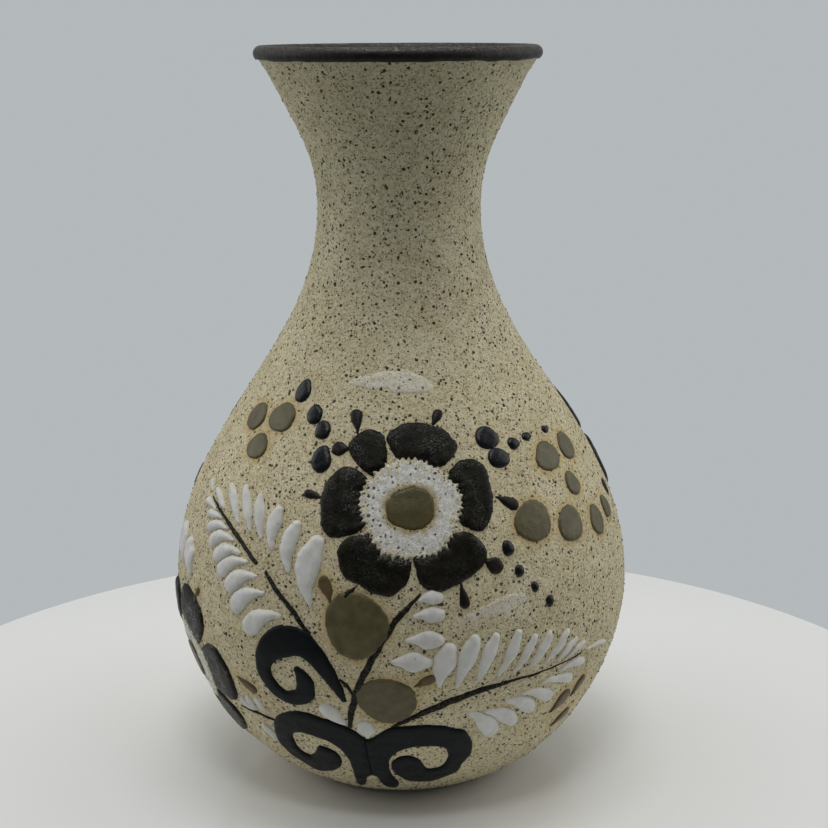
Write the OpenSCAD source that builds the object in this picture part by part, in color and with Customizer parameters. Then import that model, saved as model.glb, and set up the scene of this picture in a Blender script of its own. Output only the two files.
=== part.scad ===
// Folk stoneware vase with raised slip flowers, ferns and scrolls.
// One clay shell, a glaze on its lip and inside, and each raised slip
// piece laid face to face on the outside of the wall.

/* [Body] */
// overall height over the glazed lip
height = 200; // [150:1:260]
// radius of the foot where it meets the table
foot_r = 28; // [22:0.5:45]
// greatest outside radius
belly_r = 63.1; // [45:0.1:85]
// height of the greatest radius
belly_z = 54; // [35:0.5:80]
// least outside radius, at the neck
neck_r = 21.9; // [15:0.1:35]
// height of the least radius
neck_z = 157.5; // [120:0.5:180]
// outside radius of the clay just under the lip
mouth_r = 36.1; // [25:0.1:55]
// how far the wall stops below the top of the lip
lip_drop = 3.5; // [2:0.1:8]

/* [Wall] */
// wall thickness at the foot
wall_low = 4.8; // [3:0.1:8]
// wall thickness at the mouth
wall_high = 3; // [2:0.1:6]
// height of the inside floor
floor_z = 5; // [3:0.1:12]
// width of the ring that stands on the table
foot_ring_w = 6; // [3:0.1:12]
// depth of the hollow under the base
foot_hollow = 1.6; // [0:0.1:4]
// radius of the rounded clay lip
lip_r = 1.5; // [0.8:0.1:3]

/* [Glaze] */
// thickness of the glaze over the lip
rim_glaze_t = 0.5; // [0.2:0.1:1.5]
// thickness of the glaze inside
inner_glaze_t = 0.4; // [0.2:0.1:1]
// how far the lip glaze runs down inside
rim_glaze_in = 6; // [2:0.5:20]

/* [Relief] */
// height of the flower petals above the clay
petal_t = 0.8; // [0.4:0.1:2.5]
// height of the scrolls
scroll_t = 0.7; // [0.4:0.1:2.5]
// height of the white leaflets
leaf_t = 1; // [0.4:0.1:2.5]
// height of the dots, drops and discs
dot_t = 0.6; // [0.4:0.1:2]
// height of the stem lines
stem_t = 0.45; // [0.3:0.1:1.5]
// height of the stippled collars
collar_t = 0.3; // [0.2:0.1:1]
// thickness of the two wiped glaze films
film_t = 0.15; // [0.1:0.05:0.5]

/* [Flowers] */
// radius of a collar between its teeth
collar_r = 12.2; // [8:0.1:18]
// length of the collar teeth
tooth = 1.2; // [0.4:0.1:2.5]
// number of collar teeth
teeth = 52; // [24:1:90]
// radius of the flower centres
centre_r = 5.8; // [3:0.1:9]
// outer radius of the side and back flowers
flower_r = 23.5; // [16:0.5:32]

/* [Hidden] */
$fn = 120;
eps = 0.001;
curve_steps = 3;
cap_steps = 6;
dot_steps = 18;
dot_wobble = 0.04;
reach_in = 22;
reach_out = 6;
relief_top = 1.85;
mouth_z = height - lip_drop;
span_steps = [14, 20, 12];

// wall curve: foot to belly, belly to neck, neck to mouth
foot_handle = 28 * [cos(21.6), sin(21.6)];
mouth_handle = 20.5 * [cos(64), sin(64)];
foot = [foot_r, 0];
belly = [belly_r, belly_z];
neck = [neck_r, neck_z];
mouth = [mouth_r, mouth_z];
spans = [
    [foot, foot + foot_handle, belly - [0, 13.8], belly],
    [belly, belly + [0, 44], neck - [0, 40], neck],
    [neck, neck + [0, 15], mouth - mouth_handle, mouth]
];
lip_centre = [mouth_r, height - lip_r - rim_glaze_t];

function bezier(s, t) =
    pow(1 - t, 3) * s[0] + 3 * t * pow(1 - t, 2) * s[1]
    + 3 * t * t * (1 - t) * s[2] + pow(t, 3) * s[3];
function span_of(u) = max(0, min(2, floor(u)));
function wall_at(u) = bezier(spans[span_of(u)], u - span_of(u));
function heading(u) = let (d = wall_at(u + eps) - wall_at(u - eps)) d / norm(d);
function outward(u) = let (d = heading(u)) [d[1], -d[0]];
function thickness(u) = wall_low + (wall_high - wall_low) * u / 3;
wall_stops = [for (i = [0 : 2]) for (k = [0 : span_steps[i] - 1]) i + k / span_steps[i]];

// points of the wall curve between two stops, moved out by t
function outside(t, from, to) =
    [for (u = wall_stops) if (u >= from && u <= to) wall_at(u) + t * outward(u)];
// points of the inside of the wall, moved in by t
function inside(t) =
    [for (u = wall_stops) if (u > 0.05) wall_at(u) - (thickness(u) + t) * outward(u)];
function backwards(p) = [for (i = [len(p) - 1 : -1 : 0]) p[i]];
function arc(c, r, from, to, n) =
    [for (k = [0 : n]) let (a = from + (to - from) * k / n) c + r * [cos(a), sin(a)]];

// height on the wall curve to its place along the curve, by halving
function stop_at(z, lo = 0, hi = 3, n = 24) =
    n == 0 ? (lo + hi) / 2
    : wall_at((lo + hi) / 2)[1] < z ? stop_at(z, (lo + hi) / 2, hi, n - 1)
    : stop_at(z, lo, (lo + hi) / 2, n - 1);

// ---- outlines drawn flat, then laid on the wall ----

// smooth closed curve through the points p
function on_loop(p, u) = let (
        n = len(p), i = floor(u), f = u - i,
        a = p[(i + n - 1) % n], b = p[i % n], c = p[(i + 1) % n], d = p[(i + 2) % n]
    )
    0.5 * (2 * b + (c - a) * f + (2 * a - 5 * b + 4 * c - d) * f * f
        + (3 * b - a - 3 * c + d) * f * f * f);
// smooth open curve through the points p
function on_line(p, u) = let (
        n = len(p), i = min(floor(u), n - 2), f = u - i,
        b = p[i], c = p[i + 1],
        a = i > 0 ? p[i - 1] : 2 * b - c, d = i < n - 2 ? p[i + 2] : 2 * c - b
    )
    0.5 * (2 * b + (c - a) * f + (2 * a - 5 * b + 4 * c - d) * f * f
        + (3 * b - a - 3 * c + d) * f * f * f);

module blob(p) {
    n = len(p) * curve_steps;
    polygon([for (k = [0 : n - 1]) on_loop(p, k / curve_steps)]);
}

// a brush line through points [x, y, half width], with round ends
module stroke(p) {
    n = (len(p) - 1) * curve_steps;
    q = [for (k = [0 : n]) on_line(p, k / curve_steps)];
    xy = [for (v = q) [v[0], v[1]]];
    d = [for (k = [0 : n]) let (v = xy[min(k + 1, n)] - xy[max(k - 1, 0)]) v / norm(v)];
    left = [for (k = [0 : n]) xy[k] + q[k][2] * [-d[k][1], d[k][0]]];
    right = [for (k = [0 : n]) xy[k] + q[k][2] * [d[k][1], -d[k][0]]];
    head = atan2(d[n][1], d[n][0]);
    tail = atan2(d[0][1], d[0][0]);
    polygon(concat(
        left,
        [for (k = [1 : cap_steps - 1])
            xy[n] + q[n][2] * [cos(head + 90 - 180 * k / cap_steps), sin(head + 90 - 180 * k / cap_steps)]],
        backwards(right),
        [for (k = [1 : cap_steps - 1])
            xy[0] + q[0][2] * [cos(tail - 90 - 180 * k / cap_steps), sin(tail - 90 - 180 * k / cap_steps)]]
    ));
}

// one touch of the brush from a thin tail to a full head; swell 90 keeps
// the head round like a drop, 146 narrows it again like a leaf
module touch(tail, head, w, bend = 0, swell = 90) {
    along = (head - tail) / norm(head - tail);
    across = [-along[1], along[0]];
    stroke([for (s = [0 : 0.25 : 1])
        let (c = tail + (head - tail) * s + across * bend * 4 * s * (1 - s))
        [c[0], c[1], w * max(0.1, sin(swell * pow(s, 1.2)))]]);
}

// a hand-made round dot, a little uneven
module dot(rx, ry) {
    polygon([for (k = [0 : dot_steps - 1])
        let (
            a = 360 * k / dot_steps,
            m = 1 + dot_wobble * (sin(2 * a + 70 * rx) + sin(3 * a + 50 * ry))
        )
        [rx * m * cos(a), ry * m * sin(a)]]);
}

module star() {
    polygon([for (k = [0 : 2 * teeth - 1])
        let (a = 180 * k / teeth, wave = 0.35 * sin(5 * a) + 0.25 * sin(3 * a + 40),
            r = collar_r + wave + (k % 2 == 0 ? tooth * (0.75 + 0.3 * sin(97 * k)) : 0))
        r * [cos(a), sin(a)]]);
}

// ---- laying flat outlines on the wall ----

// carries flat outlines to the wall at angle az and height z
module at_wall(az, z) {
    u = stop_at(z);
    lean = atan2(-heading(u)[0], heading(u)[1]);
    rotate([0, 0, az])
        translate([0, -wall_at(u)[0], z])
            rotate([90 - lean, 0, 0])
                translate([0, 0, -reach_in])
                    linear_extrude(reach_in + reach_out)
                        children();
}

// keeps only the skin of thickness t on the outside of the wall
module raise(t) {
    intersection() {
        rotate_extrude()
            polygon(concat(outside(0, 0, relief_top), backwards(outside(t, 0, relief_top))));
        union() children();
    }
}

// cuts a half space that ends at the upright plane through angle az
module beyond(az, side) {
    rotate([0, 0, az])
        translate([side > 0 ? 0 : -2 * belly_r, -2 * belly_r, 0])
            cube([2 * belly_r, 2 * belly_r, height]);
}

// ---- clay and glaze ----

module clay_section() {
    polygon(concat(
        [[0, foot_hollow], [foot_r - foot_ring_w - foot_hollow, foot_hollow], [foot_r - foot_ring_w, 0]],
        outside(0, 0, 3),
        arc(lip_centre, lip_r, -60, 150, 14),
        backwards(inside(0)),
        [[foot_r - foot_ring_w, floor_z], [0, floor_z]]
    ));
}

module cavity(t) {
    skin = inside(t);
    polygon(concat(
        [[0, floor_z + t], [foot_r - foot_ring_w, floor_z + t]],
        skin,
        [[0, skin[len(skin) - 1][1]]]
    ));
}

module clay_body() {
    color([0.76, 0.7, 0.55])
        rotate_extrude()
            clay_section();
}

// the glaze rolls over the lip and runs a little way down inside
glaze_end_z = mouth_z - rim_glaze_in;
function near_mouth(p) = [for (v = p) if (v[1] > glaze_end_z - rim_glaze_in) v];

module rim_glaze() {
    color([0.17, 0.14, 0.1])
        rotate_extrude()
            difference() {
                polygon(concat(
                    arc(lip_centre, lip_r + rim_glaze_t, -55, 165, 16),
                    backwards(near_mouth(inside(inner_glaze_t))),
                    near_mouth(inside(-wall_high / 2))
                ));
                clay_section();
                square([2 * belly_r, glaze_end_z]);
            }
}

module inner_glaze() {
    color([0.2, 0.15, 0.1])
        rotate_extrude()
            difference() {
                cavity(0);
                cavity(inner_glaze_t);
                translate([0, glaze_end_z])
                    square([2 * belly_r, height]);
            }
}

// ---- flowers ----

// where each flower sits: [angle, height]
front = [3, 89];
left = [-69.8, 36.5];
right = [113.5, 86.5];
back = [-163, 88];

// the front flower's petals, clockwise from the top
front_petals = [
    [
        [-5.4, 18.6], [-2.5, 21.5], [1.5, 22.3], [6, 21.7], [9.5, 20],
        [12.6, 16.2], [10, 12], [6.2, 10], [1, 10], [-3.6, 13.2]
    ],
    [
        [9.4, 8.5], [11.8, 11.8], [15.4, 13], [18.9, 11.2], [20.7, 6],
        [20.8, -0.2], [18.2, -5.3], [14.7, -5.2], [11, -2], [10.8, 4.2]
    ],
    [
        [0.7, -11.5], [6, -9.5], [11.5, -5.8], [16.2, -6.9], [19, -11],
        [17.1, -14.8], [12, -18.5], [5.5, -20.3], [2.1, -18.5], [0.7, -15.1]
    ],
    [
        [-18.3, -9.5], [-14.9, -6.3], [-9, -6.2], [-5.8, -9], [-0.7, -12.3],
        [-0.7, -16.9], [-4.3, -21.1], [-10, -20.3], [-13.7, -17.6], [-17, -15.9]
    ],
    [
        [-22.4, 1.6], [-21.2, 7], [-18.4, 10.7], [-14.6, 11.4], [-11, 8.8], [-9.5, 5.5],
        [-10.5, 1.6], [-11, -3.6], [-14.9, -6], [-19.1, -6.4], [-21.7, -4.3]
    ],
    [
        [-15.1, 16.4], [-12.9, 19.7], [-9.4, 20.9], [-6.4, 19.3],
        [-5.4, 15.4], [-6, 10.6], [-8.9, 8.6], [-13.1, 11.9]
    ]
];
// outline of an equal petal: [share of the flower's radius, angle]
round_petal_outline = [
    [0.404, -24], [0.596, -27], [0.851, -25], [0.979, -15], [1, 0],
    [0.97, 15], [0.843, 25], [0.596, 27], [0.404, 24]
];

// one of six equal petals, its middle k sixths of a turn round
module round_petal(k, turn) {
    grow = 1 + 0.05 * sin(140 * k + 30);
    rotate(turn - 60 * k)
        blob([for (p = round_petal_outline) p[0] * flower_r * grow * [cos(p[1]), sin(p[1])]]);
}

module petal(flower, k, turn = 0) {
    color([0.1, 0.09, 0.08])
        raise(petal_t)
            at_wall(flower[0], flower[1])
                difference() {
                    if (turn == 0) blob(front_petals[k]);
                    else round_petal(k, turn);
                    star();
                }
}

module collar(flower) {
    color([0.86, 0.86, 0.84])
        raise(collar_t)
            at_wall(flower[0], flower[1])
                difference() {
                    star();
                    dot(centre_r, centre_r * 0.93);
                }
}

module centre(flower) {
    color([0.33, 0.29, 0.19])
        raise(dot_t)
            at_wall(flower[0], flower[1])
                dot(centre_r, centre_r * 0.93);
}

module front_petal_top() petal(front, 0);
module front_petal_right() petal(front, 1);
module front_petal_lower_right() petal(front, 2);
module front_petal_lower_left() petal(front, 3);
module front_petal_left() petal(front, 4);
module front_petal_upper_left() petal(front, 5);
module front_collar() collar(front);
module front_centre() centre(front);

left_turn = 5;
right_turn = 60;
back_turn = 40;

module left_petal_1() petal(left, 0, left_turn);
module left_petal_2() petal(left, 1, left_turn);
module left_petal_3() petal(left, 2, left_turn);
module left_petal_4() petal(left, 3, left_turn);
module left_petal_5() petal(left, 4, left_turn);
module left_petal_6() petal(left, 5, left_turn);
module left_collar() collar(left);
module left_centre() centre(left);

module right_petal_1() petal(right, 0, right_turn);
module right_petal_2() petal(right, 1, right_turn);
module right_petal_3() petal(right, 2, right_turn);
module right_petal_4() petal(right, 3, right_turn);
module right_petal_5() petal(right, 4, right_turn);
module right_petal_6() petal(right, 5, right_turn);
module right_collar() collar(right);
module right_centre() centre(right);

module back_petal_1() petal(back, 0, back_turn);
module back_petal_2() petal(back, 1, back_turn);
module back_petal_3() petal(back, 2, back_turn);
module back_petal_4() petal(back, 3, back_turn);
module back_petal_5() petal(back, 4, back_turn);
module back_petal_6() petal(back, 5, back_turn);
module back_collar() collar(back);
module back_centre() centre(back);

// drops between and beyond the petals: [tail, head, half width]
front_drop_marks = [
    [[-12.7, 19.5], [-12.8, 25], 1.5], [[-14.5, 15.9], [-17.3, 16.4], 1.9],
    [[5.8, 21], [7.8, 24.6], 1.2], [[-21.5, 3.6], [-25.1, 5.4], 1.2],
    [[21.6, 3.4], [26.2, 1.7], 1.6], [[12, -18], [13, -23.2], 1.3],
    [[-13.4, -18.2], [-16.4, -20.9], 0.9], [[18, -12.5], [20.9, -14], 2.1]
];

module front_drops() {
    color([0.13, 0.07, 0.05])
        raise(dot_t)
            at_wall(front[0], front[1])
                difference() {
                    for (d = front_drop_marks) touch(d[0], d[1], d[2]);
                    for (p = front_petals) blob(p);
                }
}

// drops round a six-petal flower, in the gaps listed in which
module ring_drops(flower, turn, which) {
    at_wall(flower[0], flower[1])
        for (k = which)
            rotate(turn - 60 * k + 30 + 6 * sin(150 * k))
                touch([flower_r + 0.5, 0], [flower_r + 4.6, 0.8], 1.3);
}

module outer_drops() {
    color([0.13, 0.07, 0.05])
        raise(dot_t) {
            ring_drops(left, left_turn, [2, 3, 4]);
            ring_drops(right, right_turn, [0, 1, 2, 3]);
            ring_drops(back, back_turn, [0 : 5]);
            at_wall(78.6, 81.8)
                touch([0.6, -2.6], [-0.4, 1.2], 1.3);
        }
}

// ---- stems and ferns ----

// the left fern leans up to the left, the right fern out to the right
left_fern_at = [-40, 68];
right_fern_at = [30, 41];
stem_at = [-3, 52];
upper_scroll_at = [-24, 46];
twig_at = [-40, 30];

left_fern_line = [[-20.6, 17.8, 0.2], [-12.4, 14.2, 0.5], [-4.3, 10, 0.6], [3.2, 5.3, 0.6]];
left_fern_foot = [[6.8, 3.6, 0.4], [10.5, 0.1, 0.6], [15.8, -4.3, 0.6], [20.3, -9, 0.6]];
left_fern_end = [[11.2, 0.6, 0.3], [12.4, -1, 0.5], [13.9, -3.8, 0.4]];
right_fern_line = [
    [-34.6, -16.8, 0.3], [-31.7, -12.2, 0.5], [-28.4, -8.2, 0.6], [-22.1, -3.2, 1],
    [-14.8, 0.3, 0.9], [-8.1, 2, 0.7], [-0.8, 2.9, 0.4], [10, 3.2, 0.2], [21, 3.4, 0.2]
];
stem_line = [
    [8.2, 17, 0.3], [5.6, 14.4, 0.5], [2.2, 10.7, 0.7], [-0.7, 5.7, 0.7], [-3.7, 0.4, 0.8],
    [-6, -4.1, 0.8], [-7.9, -9.4, 0.9], [-9.4, -15.8, 0.8], [-9.8, -20, 0.6]
];
twig_line = [[-7.6, -0.2, 0.2], [-0.8, 0.2, 0.4], [4.6, -0.6, 0.4]];

// white leaflets: [tail, head, half width, bend, swell]
left_fern_leaves = [
    [[20.2, -2], [19, 13.4], 3.1, 1.4, 146], [[13.3, 5], [12.7, 16.5], 2.2, 1.2, 146],
    [[7.6, 9.4], [6.4, 19.2], 1.9, 0.8, 146], [[3.4, 11.4], [-0.6, 21.3], 1.5, 0.4, 146],
    [[-0.8, 12.4], [-7, 22.5], 1.3, 0, 146], [[-5.6, 13.4], [-12.8, 21.8], 1.3, 0, 146],
    [[-13, 16], [-19.2, 20], 0.9, 0, 146], [[-21.4, 18.8], [-24, 21.4], 0.5, 0, 120],
    [[12.6, -6.4], [3.2, -11], 2.5, -1.2, 100], [[6.8, -1.8], [-2, -6.6], 2.3, -1.1, 105],
    [[4, 2], [-4.6, -2.1], 2.2, -1.1, 105], [[0.4, 4.8], [-8.9, 0.9], 1.9, -1.1, 105],
    [[-2.6, 6.2], [-11.6, 4.1], 1.7, -1.4, 105], [[-5.8, 9.1], [-14.8, 7.5], 1.5, -1.1, 105],
    [[-9.4, 11.4], [-17.4, 10.4], 1.2, -0.7, 100], [[-13, 13.3], [-19.2, 13.6], 1, -0.3, 100],
    [[-17, 15], [-22.5, 16.4], 0.8, -0.2, 95]
];
right_fern_leaves = [
    [[-22.2, 3.2], [-20.4, 13], 2.5, 0.5, 140], [[-18, 3], [-13.9, 15], 2.1, 0.5, 140],
    [[-12.6, 4], [-8.4, 15.4], 1.6, 0.4, 140], [[-7.4, 4.9], [-1.9, 15.6], 1.4, -0.3, 146],
    [[-3, 5.2], [3, 13.7], 1.1, -0.3, 146], [[1.9, 5.4], [8, 13.2], 1.2, -0.3, 146],
    [[6.6, 5.3], [14, 12], 1.1, -0.3, 146], [[10.6, 5], [17.7, 8.9], 0.9, 0, 146],
    [[14.3, 4.5], [21.2, 6.6], 0.6, 0, 146], [[22.6, 3.3], [32.4, 0.9], 0.5, 0.6, 110],
    [[-13.6, -5.6], [-6, -13], 2.4, 1, 130], [[-9.4, -5.6], [-0.3, -10.8], 2, 1, 130],
    [[-4.2, -3.3], [4.7, -8], 1.8, 1.1, 130], [[0.8, -2.3], [10.2, -6], 1.5, 1, 120],
    [[6.8, -0.6], [17.3, -3], 1.2, 1, 110], [[12.6, 1.2], [21.2, 0.6], 1.2, 0.7, 110]
];
stem_leaves = [
    [[7.9, 15.4], [12.4, 16.1], 1.6, 0.4, 120], [[6.8, 11.7], [12.9, 11.7], 1.7, 0.3, 130],
    [[5, 5.8], [12.6, 5.4], 2.1, 0.2, 140], [[1.4, 0.1], [9.8, -0.1], 2.4, 0.2, 146]
];
twig_leaves = [
    [[-1.4, 1], [-5.4, 3], 0.9, 0.2, 110], [[-0.2, 1.4], [-2.4, 5], 0.9, 0.3, 120],
    [[3.6, 1.6], [1, 5.2], 0.9, 0.2, 120]
];

module leaves(list) {
    for (v = list) touch(v[0], v[1], v[2], v[3], v[4]);
}

module left_fern_stem() {
    color([0.07, 0.06, 0.05])
        raise(stem_t) clear_of_scrolls() {
            at_wall(left_fern_at[0], left_fern_at[1]) {
                stroke(left_fern_line);
                stroke(left_fern_foot);
            }
            at_wall(upper_scroll_at[0], upper_scroll_at[1])
                stroke(left_fern_end);
            at_wall(twig_at[0], twig_at[1])
                stroke(twig_line);
        }
}

module left_fern_leaflets() {
    color([0.88, 0.87, 0.84])
        raise(leaf_t) clear_of_scrolls() {
            at_wall(left_fern_at[0], left_fern_at[1])
                difference() {
                    leaves(left_fern_leaves);
                    stroke([for (v = left_fern_line) v + [0, 0, 0.3]]);
                    stroke([for (v = left_fern_foot) v + [0, 0, 0.3]]);
                }
            at_wall(twig_at[0], twig_at[1])
                leaves(twig_leaves);
        }
}

module right_fern_stem() {
    color([0.07, 0.06, 0.05])
        raise(stem_t) clear_of_scrolls()
            at_wall(right_fern_at[0], right_fern_at[1])
                stroke(right_fern_line);
}

module right_fern_leaflets() {
    color([0.88, 0.87, 0.84])
        raise(leaf_t)
            at_wall(right_fern_at[0], right_fern_at[1])
                difference() {
                    leaves(right_fern_leaves);
                    stroke([for (v = right_fern_line) v + [0, 0, 0.2]]);
                }
}

module flower_stem() {
    color([0.07, 0.06, 0.05])
        raise(stem_t) clear_of_scrolls()
            at_wall(stem_at[0], stem_at[1])
                stroke(stem_line);
}

module flower_stem_leaflets() {
    color([0.88, 0.87, 0.84])
        raise(leaf_t)
            at_wall(stem_at[0], stem_at[1])
                leaves(stem_leaves);
}

// ---- scrolls ----

// the two lower scrolls meet back to back on the upright line at scroll_join
scroll_join = -9.2;
low_left_at = [-23, 22];
low_right_at = [3, 23];

upper_scroll_line = [
    [11.3, -5.6, 0.6], [9.4, -0.8, 1.7], [6.6, 4.1, 2.3], [3.4, 7.8, 3], [-0.4, 9.5, 3.7],
    [-5, 8.5, 4], [-9, 5.2, 3.2], [-10.7, 1.2, 2.3], [-10, -2.9, 2.1], [-7.3, -6.1, 1.9],
    [-3.9, -7.3, 2], [0.1, -5.9, 2.5], [1.4, -2.6, 2.5], [0.7, 0.1, 2], [-0.5, 1.8, 1]
];
low_left_outline = [
    [14.8, 4.4], [12.8, 7], [11.8, 8.7], [10.5, 10], [9.1, 11], [7.4, 11.9],
    [5.4, 12.6], [3, 13.1], [0.6, 13.9], [-1.9, 14.2], [-4.6, 13.8], [-7.7, 12.3],
    [-10.3, 10.1], [-11.9, 7.8], [-13, 4.4], [-13.4, 1.7], [-13.3, -1], [-12.3, -4.8],
    [-9.8, -7.9], [-6.6, -10.9], [-3.9, -12.2], [0.3, -10.2], [2.7, -8.2], [4.5, -4.7],
    [4.6, -0.8], [2.8, 1.1], [0.4, 1.8], [-0.9, 0.8], [-2.1, -1.7], [-4.2, -4],
    [-6.4, -3.2], [-7.6, -0.2], [-7.6, 3.3], [-6, 5.5], [-2.8, 6.3], [1.3, 5.4],
    [5, 3.3], [6.7, -0.2], [7.1, -4.7], [6.2, -10.6], [5.1, -16.4], [5.6, -19.1],
    [7.4, -17.1], [9.6, -12], [12.4, -9.4]
];
low_right_outline = [
    [-12.8, 3.4], [-10.3, 5.6], [-8.2, 8.2], [-6.2, 10.1], [-4, 10.8], [-1.7, 11],
    [0.6, 11.3], [3.1, 11.3], [5.7, 11], [8.2, 10.2], [10.8, 8.8], [13.2, 7.6],
    [14.6, 5], [15.6, 1.3], [15.6, -2], [14.6, -5], [13.1, -7.6], [12.5, -10.9],
    [9.7, -12.9], [6, -15.3], [2.6, -15.1], [-0.9, -13.9], [-3.9, -9.9], [-5.1, -5.4],
    [-3.8, -1.8], [-0.5, -0.7], [2.4, -3.3], [3.9, -7.4], [6.8, -7.8], [8.8, -5.6],
    [9.5, -1.6], [8.5, 1.8], [6.1, 3.1], [2.5, 3.6], [-0.3, 3.1], [-3.1, 1.8],
    [-5.1, -0.7], [-5.8, -3.9], [-5.6, -7.7], [-4.7, -11.9], [-3.2, -15.5], [-3.4, -19.2],
    [-5.8, -19.6], [-7.7, -16.6], [-9, -12], [-11.8, -10.4]
];

module upper_scroll() {
    color([0.06, 0.07, 0.08])
        raise(scroll_t)
            at_wall(upper_scroll_at[0], upper_scroll_at[1])
                stroke(upper_scroll_line);
}

// a lower scroll, cut off upright on one side of the angle join
module lower_scroll(at, outline, join, side) {
    color([0.06, 0.07, 0.08])
        difference() {
            raise(scroll_t)
                at_wall(at[0], at[1])
                    blob(outline);
            beyond(join, side);
        }
}

module lower_left_scroll() lower_scroll(low_left_at, low_left_outline, scroll_join, 1);
module lower_right_scroll() lower_scroll(low_right_at, low_right_outline, scroll_join, -1);

// keeps lines and leaves that run into a pair of lower scrolls off them;
// turn carries the pair round the wall
module clear_of_scrolls(turn = 0) {
    difference() {
        union() children();
        at_wall(low_left_at[0] + turn, low_left_at[1])
            blob(low_left_outline);
        at_wall(low_right_at[0] + turn, low_right_at[1])
            blob(low_right_outline);
    }
}

// ---- discs, dots and drops ----

// round marks: [angle, height, half width, half height]
olive_disc_marks = [[-9.9, 61.2, 8.2, 8.3], [-3.2, 40.9, 7.5, 6.9]];
olive_dot_marks = [
    [-58.3, 105.1, 4, 3.9], [-44.8, 106.6, 4.6, 4], [-50.4, 98.9, 4.1, 3.5],
    [50.8, 96.2, 4.9, 4], [63.1, 96.6, 3.9, 3.8], [57, 88.2, 3.1, 3.2],
    [36.8, 83, 5.7, 5.4], [49.6, 79.8, 4.9, 4.6], [62.2, 77.6, 3.7, 4], [71.2, 78.6, 2.8, 3.3]
];
black_dot_marks = [
    [-39.9, 113.3, 2.4, 3.3], [-31.1, 108.5, 2.2, 2.8], [-26.2, 105.4, 2.2, 2.6], [-24, 98.9, 2.8, 3.6],
    [29.5, 103.2, 3.6, 3.1], [31.5, 98.4, 3.4, 2.7], [38.8, 101, 1.9, 1.7], [45.3, 101.8, 1.6, 1.2],
    [55.9, 101.9, 1.2, 1.1], [27.5, 78, 1.6, 1.9], [29.7, 72.2, 1.3, 1.5], [33.5, 67.7, 1.2, 1.4],
    [37.6, 63.1, 1.3, 1.6]
];

module marks(list) {
    for (m = list)
        at_wall(m[0], m[1])
            dot(m[2], m[3]);
}

module olive_discs() {
    color([0.33, 0.3, 0.22])
        raise(dot_t)
            marks(olive_disc_marks);
}

module olive_dots() {
    color([0.4, 0.37, 0.27])
        raise(dot_t)
            marks(olive_dot_marks);
}

// small olive drops: [angle, height, tail, head, half width]
olive_drop_marks = [
    [-17.1, 70.1, [1.2, -3.4], [-0.7, 1.4], 1.6], [5.8, 46.6, [-3, -1.4], [1.6, 0.8], 1.3],
    [-41.2, 39.1, [-3, 1.6], [2, -1], 1.5], [-58.7, 59.5, [-1.4, -1.6], [0.8, 0.8], 0.8],
    [46.2, 31.7, [-3, -3], [1.2, 1.2], 2.3], [52.9, 34.5, [-2.4, -3.4], [0.8, 1.2], 1.7],
    [51.3, 24.6, [-3.2, -2.6], [1.4, 1], 1.8]
];

module olive_drops() {
    color([0.28, 0.23, 0.15])
        raise(dot_t)
            for (m = olive_drop_marks)
                at_wall(m[0], m[1])
                    touch(m[2], m[3], m[4], 0, 110);
}

module black_dots() {
    color([0.07, 0.08, 0.1])
        raise(dot_t)
            marks(black_dot_marks);
}

// white drops: [angle, height, tail, head, half width]
white_drop_marks = [
    [-16.3, 35.5, [2.6, -2.6], [-2, 1.6], 2.1], [-8.6, 32.2, [0.4, -3.4], [-0.2, 0.2], 2.5],
    [-39.6, 24, [2.6, -3.2], [-0.6, 1.6], 1.5], [-73.6, 68.4, [3.2, -4.6], [-1.2, 2.8], 3.6],
    [-65.8, 67.4, [2.2, -4.8], [-1.2, 2], 3.4]
];

module white_drops() {
    color([0.88, 0.87, 0.84])
        raise(leaf_t) clear_of_scrolls()
            for (m = white_drop_marks)
                at_wall(m[0], m[1])
                    touch(m[2], m[3], m[4], 0, 125);
}

module glaze_films() {
    color([0.8, 0.79, 0.74])
        raise(film_t) {
            at_wall(-3.6, 117.3)
                stroke([[-10.5, -0.2, 0.4], [-5.5, 0, 2.2], [1, 0.1, 2.9], [7, -0.4, 3], [9.4, -1.2, 1.6]]);
            at_wall(22.3, 64.2)
                stroke([[-9, -2.6, 0.6], [-4, -0.8, 1.6], [2, 0.2, 2.2], [7.4, 1.2, 1.8]]);
        }
}

// ---- the back, laid out like the front ----

back_stem_at = [184, 50];
back_right_fern_at = [213, 41];
back_left_fern_at = [156, 62];
// how far round the back the front's lower scrolls and dots are repeated
back_scroll_turn = 178.5;
back_olive_turn = 194;
back_olive_lift = 3;
back_black_turn = 170;
back_stem_line = [[8.4, 14, 0.4], [5.5, 8.4, 0.7], [1.4, 0, 0.8], [-4, -9, 0.8], [-8, -15.5, 0.6]];

// the right flower's own stem and leaflets, on the side away from the front
right_stem_at = [111, 46];
right_stem_line = [[2, 15, 0.4], [1.8, 8, 0.7], [0.2, 0, 0.8], [-3, -9, 0.8], [-8, -18, 0.6]];
right_stem_leaves = [
    [[3.4, 7.6], [9.6, 9.4], 2, 0.4, 140], [[2.2, 1], [9.4, 1.6], 2.2, 0.4, 140],
    [[0.2, -5.6], [7.4, -6.6], 2.1, 0.4, 140], [[-3, -12.4], [3.4, -14.6], 1.8, 0.4, 140],
    [[-0.2, 6.2], [-6.2, 9.6], 2, -0.4, 140], [[-2.2, -0.6], [-8.8, 2], 2.1, -0.4, 140],
    [[-5.2, -7.6], [-11.6, -5.6], 1.9, -0.4, 140]
];

module right_stem() {
    color([0.07, 0.06, 0.05])
        raise(stem_t)
            at_wall(right_stem_at[0], right_stem_at[1])
                stroke(right_stem_line);
}

module right_stem_leaflets() {
    color([0.88, 0.87, 0.84])
        raise(leaf_t)
            at_wall(right_stem_at[0], right_stem_at[1])
                leaves(right_stem_leaves);
}

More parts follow.
